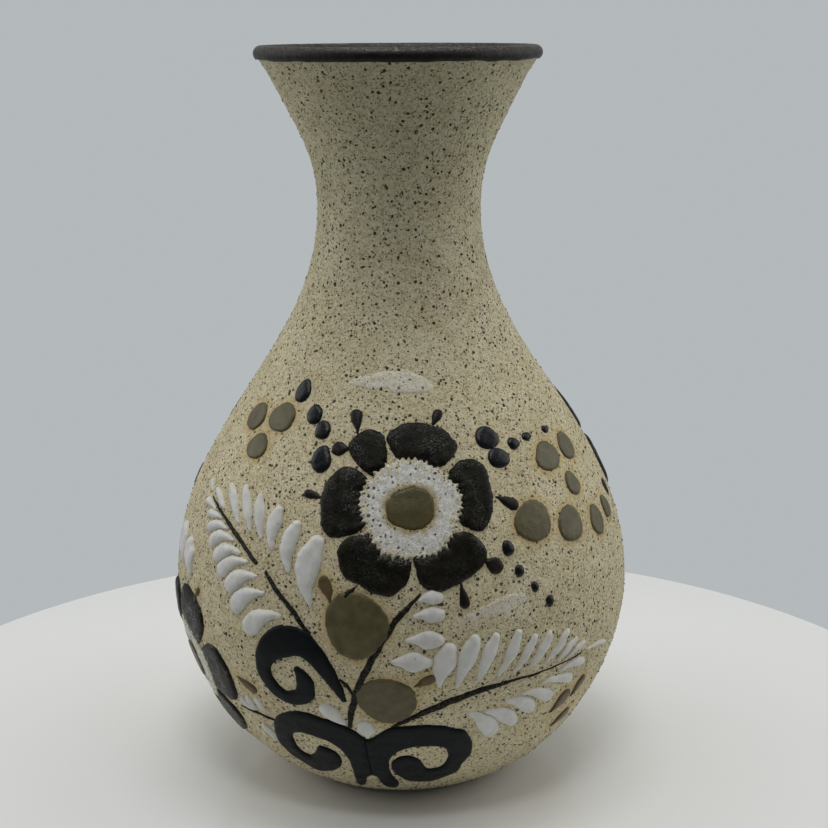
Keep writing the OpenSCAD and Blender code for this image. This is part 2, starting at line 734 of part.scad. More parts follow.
module back_stems() {
    color([0.07, 0.06, 0.05])
        raise(stem_t) clear_of_scrolls(back_scroll_turn) {
            at_wall(back_stem_at[0], back_stem_at[1])
                stroke(back_stem_line);
            at_wall(back_right_fern_at[0], back_right_fern_at[1])
                stroke(right_fern_line);
            at_wall(back_left_fern_at[0], back_left_fern_at[1])
                stroke(concat(left_fern_line, left_fern_foot));
        }
}

module back_leaflets() {
    color([0.88, 0.87, 0.84])
        raise(leaf_t) clear_of_scrolls(back_scroll_turn) {
            at_wall(back_right_fern_at[0], back_right_fern_at[1])
                difference() {
                    leaves(right_fern_leaves);
                    stroke([for (v = right_fern_line) v + [0, 0, 0.2]]);
                }
            at_wall(back_left_fern_at[0], back_left_fern_at[1])
                difference() {
                    leaves(left_fern_leaves);
                    stroke([for (v = concat(left_fern_line, left_fern_foot)) v + [0, 0, 0.3]]);
                }
        }
}

back_scroll_join = scroll_join + back_scroll_turn;

module back_left_scroll()
    lower_scroll(low_left_at + [back_scroll_turn, 0], low_left_outline, back_scroll_join, 1);
module back_right_scroll()
    lower_scroll(low_right_at + [back_scroll_turn, 0], low_right_outline, back_scroll_join, -1);

module back_olive_dots() {
    color([0.4, 0.37, 0.27])
        raise(dot_t)
            for (m = olive_dot_marks)
                if (m[0] > 0)
                    at_wall(m[0] + back_olive_turn, m[1] + back_olive_lift)
                        dot(m[2], m[3]);
}

module back_black_dots() {
    color([0.07, 0.08, 0.1])
        raise(dot_t)
            for (m = black_dot_marks)
                if (m[0] < 0)
                    at_wall(m[0] + back_black_turn, m[1])
                        dot(m[2], m[3]);
}

clay_body();
rim_glaze();
inner_glaze();
front_petal_top();
front_petal_right();
front_petal_lower_right();
front_petal_lower_left();
front_petal_left();
front_petal_upper_left();
front_collar();
front_centre();
front_drops();
left_petal_1();
left_petal_2();
left_petal_3();
left_petal_4();
left_petal_5();
left_petal_6();
left_collar();
left_centre();
right_petal_1();
right_petal_2();
right_petal_3();
right_petal_4();
right_petal_5();
right_petal_6();
right_collar();
right_centre();
back_petal_1();
back_petal_2();
back_petal_3();
back_petal_4();
back_petal_5();
back_petal_6();
back_collar();
back_centre();
outer_drops();
left_fern_stem();
left_fern_leaflets();
right_fern_stem();
right_fern_leaflets();
flower_stem();
flower_stem_leaflets();
upper_scroll();
lower_left_scroll();
lower_right_scroll();
olive_discs();
olive_dots();
olive_drops();
black_dots();
white_drops();
glaze_films();
right_stem();
right_stem_leaflets();
back_stems();
back_leaflets();
back_left_scroll();
back_right_scroll();
back_olive_dots();
back_black_dots();
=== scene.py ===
"""Stoneware vase with raised slip flowers, ferns and scrolls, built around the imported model."""
import math

import bpy
import numpy as np
from mathutils import Matrix, Vector, kdtree, noise
from mathutils.geometry import delaunay_2d_cdt


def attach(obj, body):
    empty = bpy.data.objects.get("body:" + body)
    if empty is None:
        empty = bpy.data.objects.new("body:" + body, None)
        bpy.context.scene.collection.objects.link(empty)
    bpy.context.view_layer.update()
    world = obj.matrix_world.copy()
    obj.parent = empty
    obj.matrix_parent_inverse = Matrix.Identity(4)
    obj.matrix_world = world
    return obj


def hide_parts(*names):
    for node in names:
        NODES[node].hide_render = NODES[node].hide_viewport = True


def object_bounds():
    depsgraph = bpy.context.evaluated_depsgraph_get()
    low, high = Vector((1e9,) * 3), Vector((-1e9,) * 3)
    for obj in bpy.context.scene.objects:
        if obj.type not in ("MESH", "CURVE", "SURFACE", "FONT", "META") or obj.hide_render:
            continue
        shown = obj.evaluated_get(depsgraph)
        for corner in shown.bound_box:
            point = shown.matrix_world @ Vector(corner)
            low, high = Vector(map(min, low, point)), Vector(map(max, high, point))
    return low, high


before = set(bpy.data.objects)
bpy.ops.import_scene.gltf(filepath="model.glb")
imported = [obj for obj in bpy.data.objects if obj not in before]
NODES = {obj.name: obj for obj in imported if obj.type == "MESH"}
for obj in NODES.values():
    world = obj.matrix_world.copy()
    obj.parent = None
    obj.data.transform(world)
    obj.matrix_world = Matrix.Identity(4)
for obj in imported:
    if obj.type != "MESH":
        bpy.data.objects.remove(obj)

CAD_BOX = [list(corner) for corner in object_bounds()]
MM = 0.001
TOP_Z = CAD_BOX[1][2] / MM
draw = np.random.RandomState(11)


# ---------------------------------------------------------------- camera

LENS = 69.57  # for a sensor 36 mm wide
CAMERA_PLACE = (0.00378, -0.43226, 0.2064)
CAMERA_DOWN = 0.2418
CAMERA_ROLL = -0.0049


def make_camera():
    """Looks a little down on the vase, at the same angle as the photograph."""
    data = bpy.data.cameras.new("camera")
    data.sensor_width = 36
    data.lens = LENS
    data.clip_start = 0.01
    data.clip_end = 30
    camera = bpy.data.objects.new("camera", data)
    bpy.context.scene.collection.objects.link(camera)
    place = Matrix.Translation(CAMERA_PLACE)
    tilt = Matrix.Rotation(math.pi / 2 - CAMERA_DOWN, 4, "X")
    roll = Matrix.Rotation(CAMERA_ROLL, 4, "Z")
    camera.matrix_world = place @ tilt @ roll
    bpy.context.scene.camera = camera


make_camera()


# ---------------------------------------------------------------- the wall

def mesh_points(node):
    """Vertices in mm with split corners joined, and the triangles on them."""
    mesh = NODES[node].data
    co = np.empty(len(mesh.vertices) * 3, np.float32)
    mesh.vertices.foreach_get("co", co)
    co = co.reshape(-1, 3).astype(float) / MM
    mesh.calc_loop_triangles()
    tri = np.empty(len(mesh.loop_triangles) * 3, np.int32)
    mesh.loop_triangles.foreach_get("vertices", tri)
    _, first, joined = np.unique(np.round(co * 1000).astype(np.int64), axis=0,
                                 return_index=True, return_inverse=True)
    return co[first], joined.ravel()[tri.reshape(-1, 3)]


def through(points, steps):
    """A smooth open curve through the points, with steps points for each stretch."""
    p = np.asarray(points, float)
    p = np.vstack([2 * p[0] - p[1], p, 2 * p[-1] - p[-2]])
    a, b, c, d = p[:-3, None], p[1:-2, None], p[2:-1, None], p[3:, None]
    f = np.linspace(0, 1, steps, endpoint=False)[None, :, None]
    curve = 0.5 * (2 * b + (c - a) * f + (2 * a - 5 * b + 4 * c - d) * f ** 2
                   + (3 * b - a - 3 * c + d) * f ** 3)
    return np.vstack([curve.reshape(-1, p.shape[1]), p[-2]])


WALL_TOP = TOP_Z - 3.6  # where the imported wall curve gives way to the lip
CLOSEST_STOP = 0.3


def wall_stops():
    """[radius, height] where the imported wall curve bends, followed from the foot to the mouth."""
    co, _ = mesh_points("clay_body")
    rz = np.unique(np.round(np.stack([np.hypot(co[:, 0], co[:, 1]), co[:, 2]], 1), 2), axis=0)
    at = rz[(rz[:, 1] < 0.1)][-1]
    way = np.array((1.0, 0.5))
    stops = [at]
    while at[1] < WALL_TOP:
        gap = rz - at
        far = np.maximum(np.hypot(*gap.T), 1e-6)
        straight = np.maximum(gap @ way / far / np.hypot(*way), 1e-6)
        best = np.argmin(np.where(far > CLOSEST_STOP, far / straight ** 6, 1e9))
        way = gap[best]
        at = rz[best]
        stops.append(at)
    return np.array(stops)


STOPS = wall_stops()
CURVE = through(STOPS, 24)
STEP = np.hypot(*np.diff(CURVE, axis=0).T)
CURVE_S = np.concatenate([[0], np.cumsum(STEP)])
LENGTH = CURVE_S[-1]
TANGENT = np.gradient(CURVE, CURVE_S, axis=0)
TANGENT /= np.hypot(*TANGENT.T)[:, None]


def s_of(z):
    """Distance up the wall at height z."""
    return np.interp(z, CURVE[:, 1], CURVE_S)


def wall(s):
    """Radius, height and outward direction at distance s up the wall."""
    pick = [np.interp(s, CURVE_S, v) for v in (*CURVE.T, *TANGENT.T)]
    return pick[0], pick[1], pick[3], -pick[2]


def uneven(az, s):
    """Slow hand-made waves in the wall, in mm."""
    return (0.10 * np.sin(2 * az + 0.03 * s) + 0.07 * np.sin(3 * az - 0.05 * s + 1.3)
            + 0.05 * np.sin(5 * az + 0.09 * s + 2.1) + 0.04 * np.sin(0.16 * s + np.sin(az)))


def on_wall(az, s, rise):
    """Points in metres on the wall at angle az, distance s up it, raised by rise mm."""
    r, z, nr, nz = wall(s)
    fade = np.clip(s / 12, 0, 1) * np.clip((LENGTH - s) / 12, 0, 1)
    h = rise + uneven(az, s) * fade
    r = r + h * nr
    z = z + h * nz
    return np.stack([r * np.sin(az), -r * np.cos(az), z], -1) * MM


# ---------------------------------------------------------------- meshes

def new_piece(name, verts, faces, replaces, material, attributes=None):
    """A smooth closed piece that rides on the vase in place of the CAD nodes it replaces."""
    mesh = bpy.data.meshes.new(name)
    mesh.from_pydata([tuple(v) for v in verts], [], faces)
    mesh.validate()
    mesh.update()
    mesh.polygons.foreach_set("use_smooth", [True] * len(mesh.polygons))
    for key, values in (attributes or {}).items():
        layer = mesh.attributes.new(key, "FLOAT", "POINT")
        layer.data.foreach_set("value", np.asarray(values, np.float32))
    piece = bpy.data.objects.new(name, mesh)
    bpy.context.scene.collection.objects.link(piece)
    mesh.materials.append(material)
    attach(piece, "root")
    if replaces:
        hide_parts(*replaces)


def around(radius, z, az):
    """Points in mm at the given radius, height and angle."""
    return np.stack([radius * np.sin(az), -radius * np.cos(az), z], -1)


def row_faces(sizes):
    """Faces between stacked rows of points that run round the axis; a row of one is a pole."""
    starts = np.concatenate([[0], np.cumsum(sizes)])
    faces = []
    for k, (low, high) in enumerate(zip(sizes, sizes[1:])):
        a, b = int(starts[k]), int(starts[k + 1])
        for i in range(max(low, high)):
            j = (i + 1) % max(low, high)
            if low == 1:
                faces.append((a, b + j, b + i))
            elif high == 1:
                faces.append((a + i, a + j, b))
            else:
                faces.append((a + i, a + j, b + j, b + i))
    return faces


def ring_faces(rows, count):
    """Quads round a closed ring of rows with count points each."""
    faces = []
    for i in range(rows):
        j = (i + 1) % rows
        for k in range(count):
            m = (k + 1) % count
            faces.append((i * count + k, i * count + m, j * count + m, j * count + k))
    return faces


# ---------------------------------------------------------------- materials

class Shade:
    """Short calls for making one node material."""

    def __init__(self, name):
        self.material = bpy.data.materials.new(name)
        self.material.use_nodes = True
        self.tree = self.material.node_tree
        self.shader = self.tree.nodes["Principled BSDF"]
        place = self.make("ShaderNodeTexCoord").outputs["Object"]
        self.mm = self.vector("SCALE", {0: place, "Scale": 1 / MM})

    def make(self, kind, inputs=(), **props):
        node = self.tree.nodes.new(kind)
        for key, value in props.items():
            setattr(node, key, value)
        for key, value in dict(inputs).items():
            if isinstance(value, bpy.types.NodeSocket):
                self.tree.links.new(value, node.inputs[key])
            else:
                node.inputs[key].default_value = value
        return node

    def put(self, value, socket):
        """Links a socket, or sets a number or a colour on it."""
        if isinstance(value, bpy.types.NodeSocket):
            self.tree.links.new(value, socket)
        else:
            socket.default_value = (*value, 1) if isinstance(value, tuple) else value

    def noise(self, size, detail=3, rough=0.55, warp=0):
        """Cloudy values about 0.5, with lumps about size mm across."""
        made = self.make("ShaderNodeTexNoise", {"Vector": self.mm, "Scale": 1 / size,
                                                "Detail": detail, "Roughness": rough,
                                                "Distortion": warp})
        return made.outputs["Fac"]

    def cells(self, size, place):
        """Distance from scattered points about size mm apart, and a random colour for each."""
        made = self.make("ShaderNodeTexVoronoi",
                         {"Vector": place, "Scale": 1 / size, "Randomness": 1.0})
        return made.outputs["Distance"], made.outputs["Color"]

    def vector(self, op, inputs):
        return self.make("ShaderNodeVectorMath", inputs, operation=op).outputs[0]

    def maths(self, op, *values, clamp=False):
        made = self.make("ShaderNodeMath", dict(enumerate(values)), operation=op)
        made.use_clamp = clamp
        return made.outputs[0]

    def span(self, value, low, high, to_low=0.0, to_high=1.0):
        """Smoothly maps low..high to to_low..to_high."""
        made = self.make("ShaderNodeMapRange", {"Value": value, "From Min": low, "From Max": high,
                                                "To Min": to_low, "To Max": to_high},
                         interpolation_type="SMOOTHSTEP")
        return made.outputs["Result"]

    def mix(self, amount, a, b):
        made = self.make("ShaderNodeMix", data_type="RGBA")
        for index, value in ((0, amount), (6, a), (7, b)):
            self.put(value, made.inputs[index])
        return made.outputs[2]

    def attribute(self, name):
        return self.make("ShaderNodeAttribute", attribute_name=name).outputs["Fac"]

    def height(self):
        """Height above the table in mm."""
        return self.make("ShaderNodeSeparateXYZ", {0: self.mm}).outputs["Z"]

    def bump(self, height, depth, strength=1.0, normal=None):
        """A bump of depth mm."""
        inputs = {"Height": height, "Distance": depth * MM, "Strength": strength}
        if normal is not None:
            inputs["Normal"] = normal
        return self.make("ShaderNodeBump", inputs).outputs["Normal"]

    def set(self, **inputs):
        for key, value in inputs.items():
            self.put(value, self.shader.inputs[key.replace("_", " ")])
        return self.material


def specks(s, spacing, small, large, share):
    """A mask of irregular grains spacing mm apart and small..large mm across, in share of the
    cells. A noise bends their outlines."""
    wobble = s.make("ShaderNodeTexNoise", {"Vector": s.mm, "Scale": 1 / (0.6 * large), "Detail": 2})
    shift = s.vector("SUBTRACT", {0: wobble.outputs["Color"], 1: (0.5, 0.5, 0.5)})
    shift = s.vector("SCALE", {0: shift, "Scale": 0.9 * large})
    place = s.vector("ADD", {0: s.mm, 1: shift})
    distance, colour = s.cells(spacing, place)
    pick = s.make("ShaderNodeSeparateColor", {0: colour})
    size = s.span(pick.outputs[0], 1 - share, 1.0, small / 2 / spacing, large / 2 / spacing)
    chosen = s.maths("GREATER_THAN", pick.outputs[0], 1 - share)
    inside = s.maths("LESS_THAN", distance, size)
    return s.maths("MULTIPLY", inside, chosen)


CLAY_WARM = (0.64, 0.565, 0.35)
CLAY_COOL = (0.63, 0.595, 0.39)
CLAY_PALE = (0.78, 0.72, 0.54)
CLAY_TAN = (0.44, 0.36, 0.20)
CLAY_CLOUD = (0.40, 0.32, 0.18)
CLAY_SHADE = (0.30, 0.245, 0.14)
CLAY_STAIN = (0.55, 0.40, 0.15)
# painted contact shadow: the dark brown laid round the bottom of the foot
CLAY_PAINTED_CONTACT_SHADOW = (0.12, 0.075, 0.04)
SPECK_DARK = (0.030, 0.023, 0.016)
SPECK_BROWN = (0.062, 0.044, 0.024)
GRAIN_TONES = [(0.042, 0.034, 0.026), (0.15, 0.11, 0.07), (0.44, 0.39, 0.25), (0.66, 0.62, 0.50)]
GRAIN_DUST = (0.25, 0.21, 0.14)
STEM_BLACK = (0.003, 0.0028, 0.0018)
STEM_DRY = (0.12, 0.10, 0.065)
STEM_THIN = (0.05, 0.042, 0.026)
WHITE_GREY = (0.60, 0.595, 0.56)
WHITE_CLEAN = (0.69, 0.69, 0.665)
WHITE_THIN = (0.62, 0.56, 0.40)
WHITE_GRIT = (0.14, 0.11, 0.08)
COLLAR_GREY = (0.60, 0.59, 0.53)
COLLAR_WHITE = (0.78, 0.78, 0.76)
COLLAR_OCHRE = (0.36, 0.27, 0.11)
COLLAR_GRIT = (0.03, 0.024, 0.015)
FILM_MILK = (0.72, 0.71, 0.66)
RIM_BLACK = (0.003, 0.0028, 0.002)
RIM_BROWN = (0.014, 0.0115, 0.007)
# painted glint colour for the top of the lip
RIM_PAINTED_GLINT = (0.20, 0.155, 0.08)
INNER_BLACK = (0.014, 0.010, 0.0065)
INNER_BROWN = (0.042, 0.029, 0.017)


def clay_colour(s):
    """Sandy stoneware: warm at the belly, cooler at the neck, full of dark grains."""
    base = s.mix(s.span(s.height(), 95, 165), CLAY_WARM, CLAY_COOL)
    base = s.mix(s.span(s.noise(9, 4), 0.38, 0.68, 0, 0.45), base, CLAY_PALE)
    base = s.mix(s.span(s.noise(1.3, 4, 0.7), 0.46, 0.64, 0, 0.8), base, CLAY_TAN)
    base = s.mix(s.span(s.noise(14, 4, 0.6, 0.5), 0.45, 0.70, 0, 0.35), base, CLAY_CLOUD)
    base = s.mix(s.span(s.noise(0.62, 3, 0.6), 0.46, 0.66, 0, 0.75), base, CLAY_PALE)
    base = s.mix(s.span(s.noise(0.55, 3, 0.6, 0.4), 0.53, 0.68, 0, 0.8), base, CLAY_SHADE)
    fine = specks(s, 0.76, 0.22, 0.50, 0.82)
    base = s.mix(s.maths("MULTIPLY", fine, 0.8), base, SPECK_BROWN)
    coarse = specks(s, 1.5, 0.36, 0.92, 0.58)
    return s.mix(s.maths("MULTIPLY", coarse, 0.95), base, SPECK_DARK), coarse


def clay_relief(s):
    """Bump of the sanded surface."""
    grain = s.noise(0.34, 2, 0.6)
    pits = s.noise(0.9, 3, 0.6)
    first = s.bump(s.maths("ADD", grain, s.maths("MULTIPLY", pits, 1.4)), 0.22, 0.85)
    return s.bump(s.noise(4.5, 3), 0.5, 0.35, first)


def clay_material():
    """The bare wall, stained round the olive slip, with a dark brown contact shadow painted round
    the bottom of the foot.
    """
    s = Shade("sanded_clay")
    colour, _ = clay_colour(s)
    patchy = s.span(s.noise(1.6, 3), 0.25, 0.6, 0.35, 1.0)
    stain = s.maths("MULTIPLY", s.attribute("halo"), patchy, clamp=True)
    colour = s.mix(s.maths("MULTIPLY", stain, 0.62), colour, CLAY_STAIN)
    # painted contact shadow: dark brown from the table up to about 2 mm, round the bottom of the
    # foot
    foot = s.span(s.maths("ADD", s.height(), s.noise(3, 3)), 0.8, 1.9, 0.85, 0.0)
    colour = s.mix(foot, colour, CLAY_PAINTED_CONTACT_SHADOW)
    rough = s.span(s.noise(0.5, 2), 0.3, 0.7, 0.98, 0.82)
    return s.set(Base_Color=colour, Roughness=rough, Specular_IOR_Level=0.22,
                 Normal=clay_relief(s))


def grain_material():
    """Loose-looking sand grains: each has its own tone."""
    s = Shade("sand_grains")
    tone = s.attribute("tone")
    colour = s.mix(s.span(tone, 0.50, 0.56), GRAIN_TONES[0], GRAIN_TONES[1])
    colour = s.mix(s.span(tone, 0.60, 0.64), colour, GRAIN_TONES[2])
    colour = s.mix(s.span(tone, 0.86, 0.92), colour, GRAIN_TONES[3])
    colour = s.mix(s.span(s.noise(0.3, 2), 0.3, 0.7, 0, 0.3), colour, GRAIN_DUST)
    rough = s.span(s.noise(0.4, 2), 0.3, 0.7, 0.9, 0.6)
    return s.set(Base_Color=colour, Roughness=rough, Specular_IOR_Level=0.35,
                 Normal=s.bump(s.noise(0.2, 2), 0.08, 0.6))


def slip(name, dark, light, rough, sand, edge, edge_mix, specular, shine=None):
    """A coat of coloured slip. Sand is how much of the rough clay shows through its skin, edge
    the colour of its thin border, and shine the share of its grains that carry glassy glints."""
    s = Shade(name)
    colour = s.mix(s.span(s.noise(3.2, 4), 0.3, 0.72), dark, light)
    colour = s.mix(s.span(s.noise(0.6, 3), 0.5, 0.75, 0, 0.4), colour, light)
    thin = s.span(s.attribute("rise"), 0.05, 0.55, edge_mix, 0.0)
    thin = s.maths("MULTIPLY", thin, s.span(s.noise(0.8, 3), 0.3, 0.65, 0.5, 1.0), clamp=True)
    colour = s.mix(thin, colour, edge)
    gloss = s.span(s.noise(0.7, 3), 0.3, 0.7, rough + 0.08, rough - 0.08)
    normal = s.bump(s.noise(0.38, 2, 0.6), 0.16, sand)
    normal = s.bump(s.noise(2.6, 3), 0.35, 0.35, normal)
    s.set(Base_Color=colour, Roughness=gloss, Normal=normal, Specular_IOR_Level=specular)
    if shine:
        grains = s.span(s.noise(0.42, 2, 0.7), 0.62 - 0.16 * shine, 0.72 - 0.16 * shine)
        patch = s.span(s.noise(4.2, 3, 0.6, 0.4), 0.40, 0.62, 0.15, 1.0)
        rough_skin = s.bump(s.noise(0.42, 2, 0.7), 0.22, 1.0)
        s.set(Coat_Weight=s.maths("MULTIPLY", grains, patch), Coat_Roughness=0.2,
              Coat_Normal=rough_skin)
    return s.material


def petal_material():
    return slip("petal_slip", (0.0022, 0.0021, 0.001), (0.015, 0.0135, 0.0068), 0.42, 0.9,
                edge=(0.035, 0.018, 0.012), edge_mix=0.55, specular=0.10, shine=0.85)


def scroll_material():
    return slip("scroll_slip", (0.0026, 0.004, 0.005), (0.0055, 0.0075, 0.0085), 0.46, 0.28,
                edge=(0.03, 0.026, 0.022), edge_mix=0.3, specular=0.12)


def dot_material():
    return slip("black_dot_slip", (0.0022, 0.0026, 0.0048), (0.008, 0.008, 0.010), 0.30, 0.35,
                edge=(0.04, 0.032, 0.025), edge_mix=0.4, specular=0.28)


def drop_material():
    return slip("drop_slip", (0.0042, 0.0030, 0.0019), (0.0145, 0.0095, 0.006), 0.40, 0.5,
                edge=(0.058, 0.038, 0.022), edge_mix=0.5, specular=0.2, shine=0.4)


def stem_material():
    """Black slip trailed thin, dry where it breaks up over the sand."""
    s = Shade("stem_slip")
    dry = s.span(s.noise(0.55, 4, 0.7), 0.50, 0.62)
    colour = s.mix(s.maths("MULTIPLY", dry, 0.5), STEM_BLACK, STEM_DRY)
    thin = s.span(s.attribute("rise"), 0.10, 0.5, 0.4, 0.0)
    colour = s.mix(thin, colour, STEM_THIN)
    normal = s.bump(s.noise(0.45, 3), 0.25, 0.8)
    rough = s.span(s.noise(0.6, 2), 0.3, 0.7, 0.62, 0.4)
    return s.set(Base_Color=colour, Roughness=rough, Normal=normal, Specular_IOR_Level=0.15)


def white_material():
    """Thick white slip, thin and warm at its edges."""
    s = Shade("white_slip")
    colour = s.mix(s.span(s.noise(2.8, 3), 0.3, 0.7), WHITE_GREY, WHITE_CLEAN)
    thin = s.span(s.attribute("rise"), 0.08, 0.62, 0.85, 0.0)
    thin = s.maths("MULTIPLY", thin, s.span(s.noise(0.7, 3), 0.25, 0.6, 0.35, 1.0), clamp=True)
    colour = s.mix(thin, colour, WHITE_THIN)
    grit = specks(s, 1.9, 0.2, 0.5, 0.16)
    colour = s.mix(s.maths("MULTIPLY", grit, 0.55), colour, WHITE_GRIT)
    normal = s.bump(s.noise(0.45, 2), 0.10, 0.4)
    normal = s.bump(s.noise(1.8, 3), 0.3, 0.35, normal)
    rough = s.span(s.noise(1.1, 3), 0.3, 0.7, 0.62, 0.46)
    return s.set(Base_Color=colour, Roughness=rough, Normal=normal, Specular_IOR_Level=0.45)


def collar_material():
    """White slip dabbed over the clay: thin and gritty near its teeth, ochre round the centre."""
    s = Shade("collar_slip")
    clay, coarse = clay_colour(s)
    worn = s.span(s.attribute("inset"), 0.2, 2.8, 0.13, 0.0)
    cover = s.maths("SUBTRACT", s.noise(0.95, 4, 0.7), worn)
    cover = s.span(cover, 0.34, 0.44)
    grit = specks(s, 0.95, 0.25, 0.6, 0.5)
    near = s.span(s.attribute("inset"), 0.3, 3.2, 0.95, 0.25)
    bare = s.maths("SUBTRACT", 1.0, s.maths("MULTIPLY", coarse, 0.9))
    cover = s.maths("MULTIPLY", cover, bare)
    white = s.mix(s.span(s.noise(0.8, 3), 0.4, 0.65), COLLAR_GREY, COLLAR_WHITE)
    colour = s.mix(cover, clay, white)
    ochre = s.span(s.attribute("ring"), 0.1, 2.3, 0.95, 0.0)
    ochre = s.maths("MULTIPLY", ochre, s.span(s.noise(1.5, 3), 0.3, 0.6, 0.25, 1.0), clamp=True)
    colour = s.mix(ochre, colour, COLLAR_OCHRE)
    colour = s.mix(s.maths("MULTIPLY", grit, near), colour, COLLAR_GRIT)
    normal = s.bump(s.noise(0.5, 3, 0.6), 0.3, 0.9)
    rough = s.span(s.noise(0.6, 2), 0.3, 0.7, 0.85, 0.65)
    return s.set(Base_Color=colour, Roughness=rough, Normal=normal, Specular_IOR_Level=0.35)


def olive_material(name, dark, light):
    return slip(name, dark, light, 0.42, 0.55,
                edge=(0.055, 0.032, 0.012), edge_mix=0.75, specular=0.3, shine=0.25)


def film_material():
    """A thin pale milky patch over the clay, with the clay seen through it and a painted highlight
    along its edge.
    """
    s = Shade("thin_film")
    clay, coarse = clay_colour(s)
    # painted highlight: the patch is made paler in specks along its edge
    edge = s.span(s.attribute("rise"), 0.15, 0.75, 0.45, 0.0)
    milky = s.span(s.noise(1.4, 4, 0.6, 0.5), 0.36, 0.66, 0.18, 0.62)
    painted_highlight = s.maths("MULTIPLY", edge, s.span(s.noise(0.9, 3), 0.35, 0.6))
    milky = s.maths("ADD", milky, painted_highlight, clamp=True)
    bare = s.maths("SUBTRACT", 1.0, s.maths("MULTIPLY", coarse, 0.9))
    milky = s.maths("MULTIPLY", milky, bare)
    colour = s.mix(milky, clay, FILM_MILK)
    normal = s.bump(s.noise(0.55, 3, 0.6), 0.3, 0.7)
    rough = s.span(s.noise(0.9, 3), 0.38, 0.62, 0.45, 0.12)
    return s.set(Base_Color=colour, Roughness=rough, Normal=normal, Specular_IOR_Level=0.6)


def rim_material():
    """Near-black bronze glaze, rough on top of the lip, where glints are painted in as paler brown
    specks, each under a spot of glossy coat.
    """
    s = Shade("rim_glaze")
    colour = s.mix(s.span(s.noise(1.6, 4), 0.35, 0.7), RIM_BLACK, RIM_BROWN)
    # painted highlight: specks on top of the lip turn paler brown as glints; the same mask sets the
    # coat
    glint_specks = s.span(s.noise(0.5, 2, 0.7), 0.50, 0.62)
    top = s.span(s.height(), TOP_Z - 1.5, TOP_Z - 0.3, 0.03, 1.0)
    painted_highlight = s.maths("MULTIPLY", glint_specks, top)
    colour = s.mix(s.maths("MULTIPLY", painted_highlight, 0.45), colour, RIM_PAINTED_GLINT)
    gloss = s.span(s.noise(0.8, 3), 0.3, 0.7, 0.46, 0.28)
    normal = s.bump(s.noise(0.5, 3, 0.65), 0.3, 0.75)
    normal = s.bump(s.noise(2.4, 3), 0.4, 0.4, normal)
    return s.set(Base_Color=colour, Roughness=gloss, Normal=normal, Specular_IOR_Level=0.25,
                 Coat_Weight=painted_highlight, Coat_Roughness=0.2, Coat_Normal=normal)


def inner_material():
    """The same glaze inside, browner and smoother."""
    s = Shade("inner_glaze")
    colour = s.mix(s.span(s.noise(6, 4), 0.3, 0.7), INNER_BLACK, INNER_BROWN)
    normal = s.bump(s.noise(3.0, 3), 0.4, 0.4)
    normal = s.bump(s.noise(0.6, 2), 0.1, 0.3, normal)
    rough = s.span(s.noise(1.5, 3), 0.3, 0.7, 0.34, 0.18)
    return s.set(Base_Color=colour, Roughness=rough, Normal=normal)


MATERIAL = {
    "clay": clay_material(),
    "grain": grain_material(),
    "petal_slip": petal_material(),
    "scroll_slip": scroll_material(),
    "dot_slip": dot_material(),
    "drop_slip": drop_material(),
    "stem_slip": stem_material(),
    "white_slip": white_material(),
    "collar_slip": collar_material(),
    "centre_slip": olive_material("centre_slip", (0.064, 0.052, 0.016), (0.100, 0.082, 0.030)),
    "olive_slip": olive_material("olive_slip", (0.078, 0.067, 0.028), (0.125, 0.108, 0.050)),
    "olive_drop_slip": olive_material("olive_drop_slip", (0.060, 0.040, 0.016),
                                      (0.12, 0.084, 0.036)),
    "thin_film": film_material(),
    "rim_glaze": rim_material(),
    "inner_glaze": inner_material(),
}


# ---------------------------------------------------------------- raised slip

ON_CLAY = 0.045  # mm within which a corner of a raised node counts as on the clay
TINY_AREA = 1e-7
SMALLEST_SOLID = 0.05  # mm2


def inner_face_loops(node):
    """Closed outlines of a raised node's solids where they meet the clay, as (angle, distance
    up the wall)."""
    co, tri = mesh_points(node)
    r = np.hypot(co[:, 0], co[:, 1])
    z = co[:, 2]
    off = (r - np.interp(z, STOPS[:, 1], STOPS[:, 0])) * wall(s_of(z))[2]
    tri = tri[(np.abs(off) < ON_CLAY)[tri].all(1)]
    first = co[tri[:, 0]]
    area = np.linalg.norm(np.cross(co[tri[:, 1]] - first, co[tri[:, 2]] - first), axis=1)
    tri = tri[area > TINY_AREA]
    edges = {}
    for t in tri:
        for a, b in ((t[0], t[1]), (t[1], t[2]), (t[2], t[0])):
            edges[(int(a), int(b))] = True
    follow = {a: b for a, b in edges if (b, a) not in edges}
    az = np.arctan2(co[:, 0], -co[:, 1])
    s = s_of(z)
    loops = []
    while follow:
        start, here = follow.popitem()
        loop = [start]
        while here != start and here in follow:
            loop.append(here)
            here = follow.pop(here)
        if here == start and len(loop) > 4:
            loops.append(np.stack([np.unwrap(az[loop]), s[loop]], 1))
    return loops


def area_of(loop):
    """Area within a flat closed outline, below 0 where it runs clockwise."""
    x, y = loop.T
    return 0.5 * np.sum(x * np.roll(y, -1) - y * np.roll(x, -1))


def inside_loop(points, loop):
    """Which points lie within a flat closed outline."""
    x, y = points[:, 0][:, None], points[:, 1][:, None]
    a, b = loop[None], np.roll(loop, -1, 0)[None]
    cross = (a[..., 1] > y) != (b[..., 1] > y)
    gap = b[..., 1] - a[..., 1]
    at = a[..., 0] + (y - a[..., 1]) * (b[..., 0] - a[..., 0]) / np.where(gap == 0, 1e-12, gap)
    return (cross & (x < at)).sum(1) % 2 == 1


CHUNK = 1500  # points measured at a time


